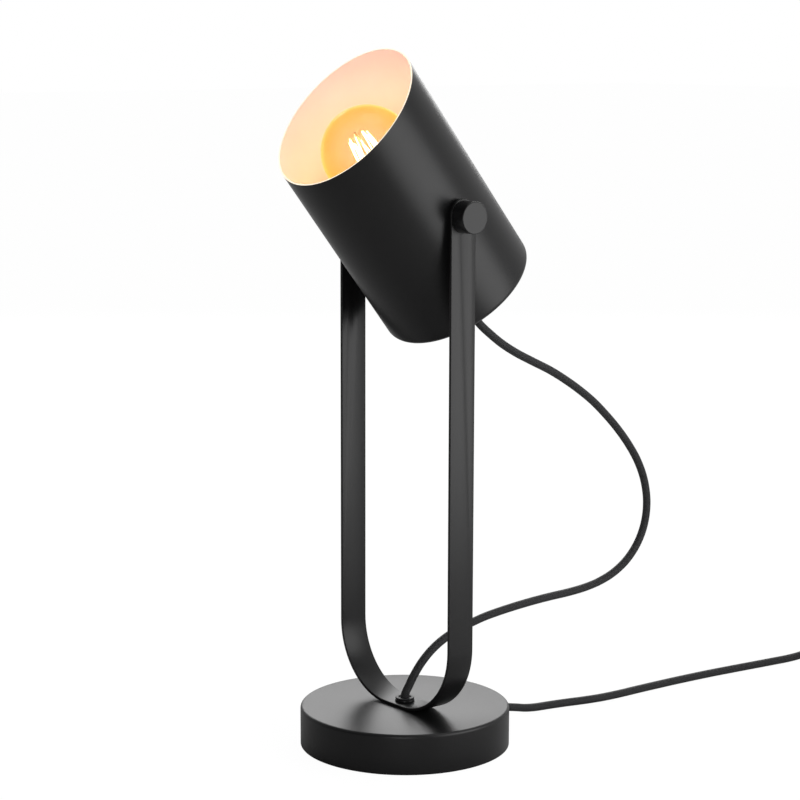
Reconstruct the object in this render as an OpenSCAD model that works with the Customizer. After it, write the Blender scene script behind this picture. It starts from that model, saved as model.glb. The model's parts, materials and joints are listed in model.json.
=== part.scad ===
// Tabletop searchlight lamp: a can shade that tilts between the arms of a bent
// flat-bar yoke on a weighted round base, with a textile cord, an in-line
// switch and a two-pin plug.
// The origin is the centre of the underside of the base. +Z is up, the tilt
// axis lies along X, the shade looks towards -Y and the cords leave towards +Y.

/* [Base] */
// Diameter of the round base
base_d = 140; // [130:1:170]
// Height of the base
base_h = 27; // [26:1:40]
// Radius of the base's upper edge
base_edge_r = 3; // [1.5:0.5:5]
// Wall of the pressed steel cover
cover_t = 1.2; // [0.8:0.1:2]
// Gap between the cover's rim and the table
rim_gap = 0.5; // [0.4:0.1:1.2]
// Thickness of the steel bottom plate
plate_t = 1.2; // [0.8:0.1:2]
// Thickness of the foam pad under the base
pad_t = 1.4; // [1.3:0.1:3]
// Gap between the iron weight and the cover's wall
weight_gap = 2.8; // [1:0.2:4]
// Radius of the pocket for the nut
pocket_r = 16; // [14:0.5:18]
// Depth of the pocket for the nut
pocket_depth = 11.4; // [11:0.2:14]
// Width of the channel for the mains lead
channel_w = 26; // [25:1:30]
// Depth of the channel for the mains lead
channel_depth = 12.4; // [12:0.2:15]
// Distance of the plate screws from the centre
plate_screw_at = 44; // [34:1:46]

/* [Centre bolt] */
// Outer diameter of the hollow bolt
bolt_d = 10; // [9.4:0.1:12]
// Bore of the hollow bolt
bolt_bore = 7.8; // [7.2:0.1:8]
// Diameter of the bolt's flange
flange_d = 13; // [12.6:0.2:15]
// Height of the bolt's flange
flange_h = 1.4; // [1.2:0.2:4]
// Height of the bush's collar on the flange
lip_h = 1.4; // [1:0.2:2.5]
// Diameter of the wide mouth in that collar
lip_bore = 8.6; // [7:0.2:9.6]
// Thickness of the washer under the weight
bolt_washer_t = 1.5; // [1:0.1:2]
// Height of the nut under the weight
bolt_nut_h = 3.5; // [3:0.1:5]
// Width of the nuts on the hollow threads
tube_nut_af = 14; // [13.6:0.2:16]

/* [Yoke] */
// Width of the flat bar
bar_w = 20; // [17:0.5:24]
// Thickness of the flat bar
bar_t = 2; // [1.5:0.1:3]
// Outer radius of the yoke's two bends
bend_r = 48.5; // [20:0.5:50]
// Height of the tilt axis above the base
arm_h = 330; // [300:1:380]
// How far the arm's round end sits above the tilt axis
end_rise = 1.5; // [0:0.5:4]
// Gap between the shade and each arm
side_gap = 2.5; // [1.5:0.1:5]

/* [Tilt pivots] */
// Diameter of the pivot studs
stud_d = 6; // [5:0.1:7]
// Diameter of the knobs
knob_d = 20.5; // [18:0.5:26]
// Length of the knobs
knob_l = 10.8; // [10:0.2:16]
// Radius of the knobs' outer edge
knob_edge_r = 0.6; // [0.3:0.1:1.5]
// Diameter of the knobs' brass insert
insert_d = 10; // [9:0.2:13]
// Thickness of the washer under each knob
knob_washer_t = 0.8; // [0.6:0.1:1.4]
// Play between that washer and the yoke
knob_play = 0.1; // [0.05:0.05:0.2]
// Diameter of the washers and spacers on the pivots
pivot_washer_d = 15; // [12:0.5:17]
// Thickness of the spacers inside the shade
inner_spacer_t = 2.5; // [1.5:0.1:4]
// Height of the pivot nuts
pivot_nut_h = 5; // [4:0.1:6]
// Width of the pivot nuts
pivot_nut_af = 10; // [9:0.5:13]

/* [Shade] */
// Outer diameter of the shade
shade_d = 106; // [104:1:130]
// Wall of the shade
shade_t = 1; // [0.6:0.1:1.5]
// Length from the tilt axis to the middle of the mouth
shade_front = 80; // [72:1:100]
// Length from the tilt axis to the back of the shade
shade_rear = 70; // [68:1:90]
// Slant of the mouth
mouth_slant = 12; // [0:1:20]
// Radius of the shade's rear edge
rear_edge_r = 4; // [1.6:0.2:8]
// Angle of the shade above the horizontal
aim = 51; // [35:1:70]

/* [Lampholder] */
// Diameter of the lampholder
holder_d = 39; // [38:0.5:44]
// Wall of the lampholder's shells
holder_t = 1.6; // [1.2:0.1:2]
// Length of the lampholder's cap with its neck
holder_cap_l = 22; // [22:0.5:28]
// Length of the cap's neck
holder_neck_l = 7; // [6:0.5:9]
// Length of the lampholder's sleeve
sleeve_l = 47; // [45:0.5:54]
// Diameter of the ceramic core's front opening
shell_bore = 26.6; // [26.5:0.1:27]
// Thickness of the brass screw shell
shell_t = 0.4; // [0.3:0.1:0.6]
// Depth of the ceramic core behind its contact
core_base_l = 15.4; // [14:0.2:18]
// Outer diameter of the nipple
nipple_d = 10; // [9.6:0.1:11]
// Bore of the nipple
nipple_bore = 7; // [6.6:0.1:7.4]
// Length of the nipple inside the shade
nipple_in = 8; // [7:0.5:9]
// Length of the nipple behind the shade
nipple_out = 9; // [8:0.5:12]
// Thickness of the washer behind the shade
rear_washer_t = 1; // [0.8:0.1:2]
// Height of the nut behind the shade
rear_nut_h = 3; // [2.5:0.1:4]
// Length of the cord grip behind the nut
grip_l = 21; // [19:0.5:26]
// Diameter of the cord grip
grip_d = 15; // [14:0.5:18]

/* [Bulb] */
// Largest diameter of the bulb
bulb_d = 60; // [50:1:64]
// Length of the bulb with its cap
bulb_l = 108; // [104:1:112]
// Diameter over the cap's thread
cap_d = 26.2; // [25.8:0.1:26.4]
// Length of the bulb's cap
cap_l = 27; // [24:0.5:28]
// Diameter of the glass neck
neck_d = 25.2; // [23:0.2:25.4]
// Wall of the glass
glass_t = 0.8; // [0.6:0.1:1.2]
// Number of loops of the filament
filament_loops = 8; // [5:1:10]

/* [Cord] */
// Diameter of the textile cord
cord_d = 5.6; // [5:0.1:6]
// Diameter of one insulated wire
wire_d = 2.2; // [1.8:0.1:2.4]
// Height of the mains lead where it leaves the base
exit_z = 7; // [6.4:0.1:8]
// Length of the strain relief behind the base
relief_l = 20; // [20:1:30]
// Turns side by side in the coil
coil_columns = 2; // [2:1:3]
// Turns on top of each other in the coil
coil_layers = 3; // [2:1:4]
// Radius of the coil at the middle of its turns
coil_r = 33.2; // [30:0.2:40]

/* [Switch] */
// Length of the in-line switch
switch_l = 62; // [58:1:72]
// Width of the in-line switch
switch_w = 24; // [23:0.5:30]
// Height of the in-line switch
switch_h = 15; // [14.5:0.5:18]
// Wall of the switch's shells
switch_t = 1.6; // [1.2:0.1:2]
// Length of the rocker
rocker_l = 19.4; // [16:0.2:22]
// Width of the rocker
rocker_w = 11; // [9:0.2:12]
// Tilt of the rocker each way from level
rocker_tilt = 7; // [4:0.5:9]

/* [Plug] */
// Width of the plug
plug_w = 35; // [33:0.5:37]
// Thickness of the plug
plug_h = 13.6; // [13:0.2:16]
// Length of the plug's body
plug_l = 36; // [32:0.5:42]
// Length of the plug's strain relief
plug_relief_l = 22; // [20:1:30]
// Diameter of the pins
pin_d = 4; // [3.8:0.1:4.8]
// Length of the pins
pin_l = 19; // [18:0.5:20]
// Distance between the pins
pin_spacing = 18.6; // [17.5:0.1:19]

/* [Hidden] */
$fn = 64;

// Clearances: fixed fits, turning fits and play
seat = 0.02;
run = 0.06;
play = 0.1;
over = 1;

cord_r = cord_d / 2;
wire_r = wire_d / 2;

// Heights in the base
base_r = base_d / 2;
plate_top = pad_t + plate_t;
plate_r = base_r - cover_t - 0.4;
weight_top = base_h - cover_t;
weight_r = base_r - cover_t - weight_gap;
pocket_top = plate_top + pocket_depth;
channel_top = plate_top + channel_depth;
bolt_end = pocket_top - bolt_washer_t - bolt_nut_h - 2;
flange_top = base_h + bar_t + flange_h;

// The yoke and the tilt axis
shade_r = shade_d / 2;
arm_in = shade_r + side_gap;
arm_out = arm_in + bar_t;
pivot_z = base_h + arm_h;
stud_r = stud_d / 2;
washer_out = arm_out + knob_play + knob_washer_t;
knob_in = arm_out + 0.2;
knob_out = knob_in + knob_l;
insert_end = knob_out - 2.2;
stud_in = shade_r - shade_t - inner_spacer_t - pivot_nut_h - 1;
stud_out = insert_end - 0.8;

// The lampholder, measured along the shade's own axis from the tilt axis
wall_in = shade_t - shade_rear;
cap_end = wall_in + holder_cap_l;
sleeve_end = cap_end + sleeve_l;
holder_r = holder_d / 2;
holder_in = holder_r - holder_t;
core_back = cap_end + 2;
core_face = core_back + core_base_l;
core_front = sleeve_end - holder_t;
core_r = holder_in - play;
shell_r = shell_bore / 2;
contact_top = core_face + 2;
nipple_r = nipple_d / 2;
nipple_top = wall_in + nipple_in;
nipple_end = -shade_rear - nipple_out;
nut_back = -shade_rear - rear_washer_t - rear_nut_h;
grip_end = nut_back - grip_l;

// The bulb, measured along its own axis from its contact
bulb_r = bulb_d / 2;
bulb_z = contact_top + play;
bulb_mid = bulb_l - bulb_r;
skirt_z = cap_l - 5;
cone_turn = 25;
neck_r = neck_d / 2;

// ---------------------------------------------------------------- helpers

// A point on the shade's axis, in the lamp's frame
function on_axis(s) = [0, -cos(aim) * s, pivot_z + sin(aim) * s];

// Puts children drawn along the shade's axis, with the tilt axis at z = 0
module on_shade() {
    translate([0, 0, pivot_z]) rotate([90 - aim, 0, 0]) children();
}

// Children drawn along +Z are turned to +X on the tilt axis
module along_tilt(side) {
    translate([0, 0, pivot_z]) rotate([0, side * 90, 0]) children();
}

// A round bar or a tube between two heights
module tube(r, low, high, bore = 0) {
    translate([0, 0, low]) difference() {
        cylinder(r = r, h = high - low);
        if (bore > 0) translate([0, 0, -over]) cylinder(r = bore, h = high - low + 2 * over);
    }
}

// A hexagonal nut between two heights
module hex_nut(af, low, high, bore) {
    translate([0, 0, low]) difference() {
        cylinder(r = af / 2 / cos(30), h = high - low, $fn = 6);
        translate([0, 0, -over]) cylinder(r = bore, h = high - low + 2 * over);
    }
}

// Half outline of a turned can with rounded lower and upper corners
module can_half(r, low, high, low_r, high_r) {
    translate([0, low + low_r]) square([r, high - low - low_r - high_r]);
    translate([0, low]) square([r - low_r, high - low]);
    translate([0, low + low_r]) square([r - high_r, high - low - low_r]);
    if (low_r > 0) translate([r - low_r, low + low_r]) circle(low_r);
    if (high_r > 0) translate([r - high_r, high - high_r]) circle(high_r);
}

// A slab with rounded upright corners
module slab(length, width, corner, low, high) {
    translate([0, 0, low]) linear_extrude(high - low) {
        square([length - 2 * corner, width], center = true);
        square([length, width - 2 * corner], center = true);
        for (x = [-1, 1], y = [-1, 1])
            translate([x * (length / 2 - corner), y * (width / 2 - corner)]) circle(corner);
    }
}

// A straight bar between two points
module stick(a, b, r, sides = 16) {
    d = b - a;
    turn = atan2(d[1], d[0]);
    lean = acos(d[2] / norm(d));
    translate(a) rotate([0, lean, turn]) cylinder(r = r, h = norm(d), $fn = sides);
}

// A cord or wire along a route: rings square to the route, joined into one skin
function unit(v) = v / norm(v);
function heading(p, i) =
    i == 0 ? unit(p[1] - p[0]) :
    i == len(p) - 1 ? unit(p[i] - p[i - 1]) :
    unit(unit(p[i] - p[i - 1]) + unit(p[i + 1] - p[i]));
function carried(v, t) = unit(v - (v * t) * t);
function sides_of(p, i, first) =
    i == 0 ? carried(first, heading(p, 0)) :
    carried(sides_of(p, i - 1, first), heading(p, i));
module cord(p, r, first = [1, 0.02, 0.01], sides = 8) {
    last = len(p) - 1;
    rings = [
        for (i = [0:last])
            let (t = heading(p, i), u = sides_of(p, i, first), w = cross(t, u))
            for (k = [0:sides - 1])
                p[i] + r * (cos(360 * (k + 0.5) / sides) * u + sin(360 * (k + 0.5) / sides) * w)
    ];
    walls = [
        for (i = [0:last - 1], k = [0:sides - 1])
            let (a = i * sides + k, b = i * sides + (k + 1) % sides)
            [b, a, a + sides, b + sides]
    ];
    ends = [
        [for (k = [0:sides - 1]) k],
        [for (k = [sides - 1:-1:0]) last * sides + k]
    ];
    polyhedron(rings, concat(walls, ends), convexity = 10);
}

// ------------------------------------------------------------------- base

// Pressed steel cover: a can open below, with a hole on top and one behind
module base_cover() {
    color("#262628") difference() {
        rotate_extrude() difference() {
            can_half(base_r, rim_gap, base_h, 0, base_edge_r);
            can_half(base_r - cover_t, rim_gap - over, weight_top, 0, base_edge_r - cover_t);
        }
        tube(bolt_d / 2 + play, weight_top - over, base_h + over);
        translate([0, base_r, exit_z]) rotate([90, 0, 0]) tube(grommet_r + play, -over, weight_gap + cover_t);
    }
}

// Cast-iron weight with a pocket for the nut and a channel to the back
module base_weight() {
    color("#55524e") difference() {
        rotate_extrude() can_half(weight_r, plate_top, weight_top, 0, base_edge_r - cover_t);
        tube(bolt_d / 2 + 0.3, plate_top, weight_top + over);
        tube(pocket_r, plate_top - over, pocket_top);
        translate([-channel_w / 2, 0, plate_top - over])
            cube([channel_w, base_r, channel_depth + over]);
        for (a = plate_screw_angles) rotate(a) translate([plate_screw_at, 0, 0])
            tube(screw_r + seat, plate_top - over, plate_top + screw_l + play);
        for (p = block_screw_places) translate(p)
            tube(screw_r + seat, channel_top - over, channel_top + 5 + play);
    }
}
plate_screw_angles = [30, 150, 270];
screw_r = 1.5;
screw_l = 9;

// Steel plate that closes the base, held by three countersunk screws
module bottom_plate() {
    color("#6f7276") difference() {
        tube(plate_r, pad_t, plate_top);
        for (a = plate_screw_angles) rotate(a) translate([plate_screw_at, 0, pad_t - over])
            cylinder(r1 = screw_head_r + play + sink * over,
                r2 = screw_head_r + play - sink * (plate_t + over), h = plate_t + 2 * over);
    }
}
screw_head_r = 3.2;
sink = 0.6;

module plate_screws() {
    color("#b4b6ba") for (a = plate_screw_angles) rotate(a) translate([plate_screw_at, 0, 0]) {
        difference() {
            union() {
                translate([0, 0, pad_t])
                    cylinder(r1 = screw_head_r, r2 = screw_head_r - sink * plate_t, h = plate_t);
                tube(screw_r, pad_t + 0.2, plate_top + screw_l);
            }
            for (turn = [0, 90]) rotate(turn) translate([-1.6, -0.3, pad_t - over])
                cube([3.2, 0.6, over + 0.5]);
        }
    }
}

// Foam pad that the lamp stands on, stuck on over the screws
module base_pad() {
    color("#1b1b1c") tube(plate_r, 0, pad_t);
}

// Hollow bolt that clamps the yoke, the cover and the weight together
module flange_bolt() {
    color("#2a2a2c") difference() {
        union() {
            tube(flange_d / 2, base_h + bar_t, flange_top);
            tube(bolt_d / 2, bolt_end, base_h + bar_t + 0.5);
        }
        tube(bolt_bore / 2, bolt_end - over, flange_top + over);
    }
}

// Plastic bush that keeps the cord off the bolt's edges
module bolt_bush() {
    color("#161617") difference() {
        union() {
            tube(bolt_bore / 2 - 0.05, bolt_end, flange_top + lip_h);
            tube(flange_d / 2 - 0.2, flange_top, flange_top + lip_h);
        }
        tube(cord_r + 0.15, bolt_end - over, flange_top + lip_h + over);
        tube(lip_bore / 2, flange_top + 0.5, flange_top + lip_h + over);
    }
}

module bolt_washer() {
    color("#b9bbbe") tube(11, pocket_top - bolt_washer_t, pocket_top, bolt_d / 2 + 0.2);
}

module bolt_nut() {
    color("#c2b280") hex_nut(tube_nut_af, pocket_top - bolt_washer_t - bolt_nut_h,
        pocket_top - bolt_washer_t, bolt_d / 2 + seat);
}

// Moulded grommet and strain relief in the back of the base
grommet_r = 4.3;
grommet_flange_r = 5.4;
grommet_flange_t = 1.4;
module base_grommet() {
    color("#161617") translate([0, 0, exit_z]) rotate([-90, 0, 0]) difference() {
        union() {
            tube(grommet_r, base_r - cover_t - 2.4, base_r + 0.5);
            intersection() {
                tube(grommet_flange_r, base_r - cover_t - 2.4, base_r - cover_t - 0.5);
                translate([0, exit_z - plate_top - play, base_r])
                    mirror([0, 1, 0]) translate([-base_r, 0, -base_r]) cube(2 * base_r);
            }
            tube(grommet_flange_r, base_r, base_r + grommet_flange_t);
            translate([0, 0, base_r + 0.5])
                cylinder(r1 = grommet_r, r2 = cord_r + 0.8, h = relief_l - 0.5);
        }
        tube(cord_r + play, base_r - 2 * over - cover_t - 2.4, base_r + relief_l + over);
    }
}

// Clamp block that holds the mains lead inside the base
clamp_y = [48, 55];
clamp_w = 22;
clamp_low = plate_top + 0.8;
module cord_clamp() {
    color("#d8d5cc") difference() {
        translate([-clamp_w / 2, clamp_y[0], clamp_low])
            cube([clamp_w, clamp_y[1] - clamp_y[0], channel_top - clamp_low]);
        translate([0, 0, exit_z]) rotate([-90, 0, 0]) tube(cord_r + seat, clamp_y[0] - over, clamp_y[1] + over);
        for (p = [for (i = [0, 1]) block_screw_places[i]]) translate(p) {
            tube(screw_r + play, clamp_low - over, channel_top + over);
            tube(2.9, clamp_low - over, clamp_low + 2);
        }
    }
}

// Two screws through the clamp and one through the terminal block
block_y = [18, 36];
block_w = 22;
block_low = plate_top + 0.8;
block_screw_places = [
    [-7.5, (clamp_y[0] + clamp_y[1]) / 2, 0],
    [7.5, (clamp_y[0] + clamp_y[1]) / 2, 0],
    [0, (block_y[0] + block_y[1]) / 2, 0]
];
module clamp_screws() {
    color("#b4b6ba") for (p = block_screw_places) translate(p) {
        tube(screw_r, clamp_low + 1.1, channel_top + 5);
        difference() {
            tube(2.8, clamp_low + 0.2, clamp_low + 2);
            for (turn = [0, 90]) rotate(turn) translate([-1.6, -0.3, clamp_low - over])
                cube([3.2, 0.6, over + 1]);
        }
    }
}

// Two-pole terminal block: nylon body, brass tubes, and four screws from below
terminal_x = [-6.5, 6.5];
terminal_z = channel_top - 5;
terminal_tube_r = 2.6;
terminal_bore = 1.35;
terminal_screw_r = 1.2;
terminal_screw_y = [block_y[0] + 5, block_y[1] - 5];
module terminal_block() {
    color("#e6e2d6") difference() {
        translate([-block_w / 2, block_y[0], block_low])
            cube([block_w, block_y[1] - block_y[0], channel_top - block_low]);
        for (x = terminal_x) {
            translate([x, 0, terminal_z]) rotate([-90, 0, 0])
                tube(terminal_tube_r + seat, block_y[0] - over, block_y[1] + over);
            for (y = terminal_screw_y) translate([x, y, 0])
                tube(terminal_screw_r + 0.8, block_low - over, terminal_z);
        }
        translate(block_screw_places[2]) {
            tube(screw_r + play, block_low - over, channel_top + over);
            tube(2.9, block_low - over, block_low + 2);
        }
    }
}

module terminal_tubes() {
    color("#c9a24a") for (x = terminal_x) difference() {
        translate([x, 0, terminal_z]) rotate([-90, 0, 0])
            tube(terminal_tube_r, block_y[0] + 1.5, block_y[1] - 1.5, terminal_bore);
        for (y = terminal_screw_y) translate([x, y, 0])
            tube(terminal_screw_r + seat, block_low - over, terminal_z);
    }
}

module terminal_screws() {
    color("#b4b6ba") for (x = terminal_x, y = terminal_screw_y) translate([x, y, 0])
        tube(terminal_screw_r, block_low + 0.4, terminal_z - wire_r - 0.1);
}

// Four wires in the base: two down from the lamp, two in from the mains lead
lamp_wire = [
    [1.25, 0, 12], [1.25, 0, 8.5], [1.5, 1, 6], [2.2, 4, 4.5],
    [3.6, 9, 4.6], [5.4, 13, 7.5], [6.5, 16, 10], [6.5, 24.5, 10]
];
mains_wire = [[1.25, 41.3, 7], [2.2, 40.1, 7.4], [5, 39, 9], [6.5, 37.5, 9.8], [6.5, 36.5, 10], [6.5, 29.5, 10]];
bare_wire_r = 1.1;
module base_wires() {
    for (side = [-1, 1]) {
        color(side < 0 ? "#7a4a25" : "#2d5da8") {
            cord([for (p = lamp_wire) [side * p[0], p[1], p[2]]], bare_wire_r);
            cord([for (p = mains_wire) [side * p[0], p[1], p[2]]], bare_wire_r);
        }
    }
}

// ------------------------------------------------------------------- yoke

// Half outline of the bar's bend: outer or inner side
module yoke_side(half, r, floor_z) {
    translate([-half, floor_z + r]) square([2 * half, arm_top - floor_z - r]);
    translate([-half + r, floor_z]) square([2 * (half - r), arm_top - floor_z]);
    for (x = [-1, 1]) translate([x * (half - r), floor_z + r]) circle(r);
}
end_r = bar_w / 2;
end_z = pivot_z + end_rise;
arm_top = end_z + end_r;

// Flat steel bar bent into a U, with round ends, a pivot hole in each arm and
// a hole in the floor for the hollow bolt
module yoke() {
    color("#2b2b2e") difference() {
        rotate([90, 0, 0]) linear_extrude(bar_w, center = true) difference() {
            yoke_side(arm_out, bend_r, base_h);
            yoke_side(arm_in, bend_r - bar_t, base_h + bar_t);
            translate([-arm_in, arm_top - over]) square([2 * arm_in, 2 * over]);
        }
        rotate([90, 0, 90]) linear_extrude(3 * arm_out, center = true) difference() {
            translate([-bar_w, end_z]) square([2 * bar_w, 2 * end_r]);
            circle_at(end_z, end_r);
        }
        for (side = [-1, 1]) along_tilt(side) tube(stud_r + run, arm_in - over, arm_out + over);
        tube(bolt_d / 2 + play, base_h - over, base_h + bar_t + over);
    }
}
module circle_at(z, r) {
    translate([0, z]) circle(r);
}

// ----------------------------------------------------------------- pivots

// Turned clamp knob with a pocket for its insert and a recess for its washer
module knob(side) {
    along_tilt(side) difference() {
        rotate_extrude() can_half(knob_d / 2, knob_in, knob_out, 0.3, knob_edge_r);
        tube(insert_d / 2, washer_out, insert_end);
        tube(pivot_washer_d / 2 + 0.4, knob_in - over, washer_out);
    }
}
module knob_insert(side) {
    along_tilt(side) tube(insert_d / 2 - seat, washer_out, insert_end, stud_r + run);
}
module knob_washer(side) {
    along_tilt(side) tube(pivot_washer_d / 2, arm_out + knob_play, washer_out, stud_r + run);
}
module knob_right() { color("#242426") knob(1); }
module knob_left() { color("#242426") knob(-1); }
module knob_insert_right() { color("#c9a24a") knob_insert(1); }
module knob_insert_left() { color("#c9a24a") knob_insert(-1); }
module knob_washer_right() { color("#d9d9d6") knob_washer(1); }
module knob_washer_left() { color("#d9d9d6") knob_washer(-1); }

// Threaded stud from the nut inside the shade to the knob
module pivot_studs() {
    color("#b4b6ba") for (side = [-1, 1]) along_tilt(side) tube(stud_r, stud_in, stud_out);
}

// Spacers that are flat towards the arm and hollowed to the shade's wall
module outer_spacers() {
    color("#1d1d1f") on_shade() for (side = [-1, 1]) difference() {
        rotate([0, side * 90, 0])
            tube(pivot_washer_d / 2, shade_r - 2, arm_in - 0.05, stud_r + seat);
        tube(shade_r + seat, -pivot_washer_d, pivot_washer_d, $fn = 720);
    }
}
module inner_spacers() {
    color("#d9d9d6") on_shade() for (side = [-1, 1]) intersection() {
        rotate([0, side * 90, 0])
            tube(pivot_washer_d / 2, shade_r - shade_t - inner_spacer_t, shade_r, stud_r + seat);
        tube(shade_r - shade_t - seat, -pivot_washer_d, pivot_washer_d, $fn = 720);
    }
}
module pivot_nuts() {
    nut_top = shade_r - shade_t - inner_spacer_t;
    color("#b4b6ba") for (side = [-1, 1]) along_tilt(side)
        hex_nut(pivot_nut_af, nut_top - pivot_nut_h, nut_top, stud_r + seat);
}

// ------------------------------------------------------------------ shade

// Spun steel can with a rounded back and a slanted mouth
module shade() {
    mouth_room = shade_front + shade_r;
    color("#2a2a2d") on_shade() difference() {
        rotate_extrude() difference() {
            can_half(shade_r, -shade_rear, mouth_room, rear_edge_r, 0);
            can_half(shade_r - shade_t, wall_in, mouth_room + over, rear_edge_r - shade_t, 0);
        }
        translate([0, 0, shade_front]) rotate([mouth_slant, 0, 0])
            translate([-shade_d, -shade_d, 0]) cube([2 * shade_d, 2 * shade_d, 3 * shade_d]);
        for (side = [-1, 1]) rotate([0, side * 90, 0])
            tube(stud_r + play, shade_r - 3 * shade_t, shade_r + over);
        tube(nipple_r + play, -shade_rear - over, wall_in + over);
    }
}

// ------------------------------------------------------------- lampholder

module nipple() {
    color("#c2b280") on_shade() tube(nipple_r, nipple_end, nipple_top, nipple_bore / 2);
}
module rear_washer() {
    color("#b9bbbe") on_shade()
        tube(nipple_r + 4.5, -shade_rear - rear_washer_t, -shade_rear, nipple_r + play);
}
module rear_nut() {
    color("#3a3a3c") on_shade()
        hex_nut(tube_nut_af, nut_back, -shade_rear - rear_washer_t, nipple_r + seat);
}

// Moulded cord grip on the nipple, tapered towards the cord
grip_screw_z = nut_back - 10;
grip_screw_r = 1.5;
module cord_grip() {
    taper = grip_l / 2;
    color("#161617") on_shade() difference() {
        union() {
            tube(grip_d / 2, grip_end + taper, nut_back);
            translate([0, 0, grip_end])
                cylinder(r1 = cord_r + 0.9, r2 = grip_d / 2, h = taper);
        }
        tube(cord_r + 0.15, grip_end - over, nut_back + over);
        tube(nipple_r + seat, nipple_end, nut_back + over);
        translate([0, 0, grip_screw_z]) rotate([0, 90, 0]) tube(grip_screw_r + seat, cord_r, grip_d);
    }
}
module grip_screw() {
    color("#e6e2d6") on_shade() translate([0, 0, grip_screw_z]) rotate([0, 90, 0]) {
        tube(grip_screw_r, cord_r + 0.3, grip_d / 2 + 0.5);
        difference() {
            tube(2.4, grip_d / 2, grip_d / 2 + 1.6);
            translate([-0.3, -3, grip_d / 2 + 0.8]) cube([0.6, 6, 1.6]);
        }
    }
}

// Cap of the lampholder: neck, shoulder, and a spigot that carries the sleeve
module holder_cap() {
    neck_end = wall_in + holder_neck_l;
    neck = nipple_r + 3;
    shoulder = cap_end - 7;
    inner = holder_in - 1.7;
    color("#1c1c1e") on_shade() rotate_extrude() polygon([
        [nipple_r + seat, wall_in],
        [neck, wall_in],
        [neck, neck_end],
        [holder_r - 5, shoulder - 3.4],
        [holder_r - 1.4, shoulder],
        [holder_r, shoulder + 3],
        [holder_r, cap_end],
        [holder_in - play, cap_end],
        [holder_in - play, core_back],
        [inner, core_back],
        [inner, shoulder + 2],
        [holder_r - 6.4, shoulder - 1.6],
        [nipple_r + 0.6, neck_end + 1.6],
        [nipple_r + seat, neck_end + 1.6]
    ]);
}

// Sleeve of the lampholder with an inner lip in front
module holder_sleeve() {
    color("#1c1c1e") on_shade() {
        tube(holder_r, cap_end, core_front + 0.2, holder_in);
        tube(holder_r, core_front, sleeve_end, shell_r + 1);
    }
}

// Ceramic core: a base for the contact and terminals and a wall round the shell
module holder_core() {
    color("#efece4") on_shade() difference() {
        tube(core_r, core_back, core_front);
        tube(shell_r + shell_t + play, core_face, core_front + over);
        tube(rivet_r + seat, core_back - over, core_face + over);
        for (side = [-1, 1]) translate([side * terminal_r, 0, 0])
            tube(1.4 + seat, core_back - over, core_back + 7 + play);
    }
}
rivet_r = 1.5;
terminal_r = 9;

// Brass shell with rolled threads, and a floor with a hole for the contact
module screw_shell() {
    top = core_front - 0.6;
    ribs = floor((top - core_face - 2) / 3.6);
    color("#c9a24a") on_shade() {
        tube(shell_r + shell_t, core_face + 0.05, top, shell_r);
        tube(shell_r + shell_t, core_face + 0.05, core_face + 0.05 + shell_t, 6);
        for (i = [0:ribs - 1]) translate([0, 0, core_face + 3 + 3.6 * i])
            rotate_extrude() translate([shell_r + 0.08, 0]) circle(0.15, $fn = 16);
    }
}
module holder_contact() {
    color("#c9a24a") on_shade() {
        tube(3.5, core_face, contact_top);
        tube(rivet_r, core_back, core_face + 0.5);
        tube(3, core_back - 1, core_back);
    }
}
module holder_screws() {
    color("#b4b6ba") on_shade() for (side = [-1, 1]) translate([side * terminal_r, 0, 0]) {
        tube(1.4, core_back - 1, core_back + 7);
        tube(2.5, core_back - 2.2, core_back);
    }
}

// Two wires from the end of the cord to the terminals
module holder_wires() {
    start = nipple_top - 3;
    turn = wall_in + holder_neck_l + 3;
    stop = core_back - 2.5;
    for (side = [-1, 1]) color(side < 0 ? "#7a4a25" : "#2d5da8") on_shade()
        cord([
            [side * 1.25, 0, start], [side * 1.3, 0, turn - 1.5], [side * 2.4, 0, turn + 2],
            [side * 6, 0, stop - 6], [side * 8.6, 0, stop - 3.5], [side * terminal_r, 0, stop]
        ], bare_wire_r, [0, 1, 0.02]);
}

// ------------------------------------------------------------------- bulb

module on_bulb() {
    on_shade() translate([0, 0, bulb_z]) children();
}

// Outline of the glass, drawn inwards by w: globe, cone, curve into the neck
function globe_points(w) = [
    for (i = [0:17])
        let (a = 90 - i * (90 + cone_turn) / 17)
        [(bulb_r - w) * cos(a), bulb_mid + (bulb_r - w) * sin(a)]
];
function neck_points(w) =
    let (
        slope = tan(cone_turn),
        r0 = (bulb_r - w) * cos(cone_turn),
        z0 = bulb_mid - (bulb_r - w) * sin(cone_turn),
        corner = z0 - (r0 - (neck_r - w)) / slope,
        up = [neck_r - w + 8 * slope, corner + 8],
        mid = [neck_r - w, corner],
        down = [neck_r - w, max(corner - 7, cap_l + 0.2)]
    )
    [for (i = [0:6]) let (t = i / 6)
        (1 - t) * (1 - t) * up + 2 * t * (1 - t) * mid + t * t * down];
module bulb_glass() {
    foot = skirt_z + 0.2;
    outside = concat(globe_points(0), neck_points(0), [[neck_r, foot]]);
    inside = concat(globe_points(glass_t), neck_points(glass_t), [[neck_r - glass_t, foot]]);
    color("#d98a2b", 0.45) on_bulb() rotate_extrude()
        polygon(concat(outside, [for (i = [len(inside) - 1:-1:0]) inside[i]]));
}

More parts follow.
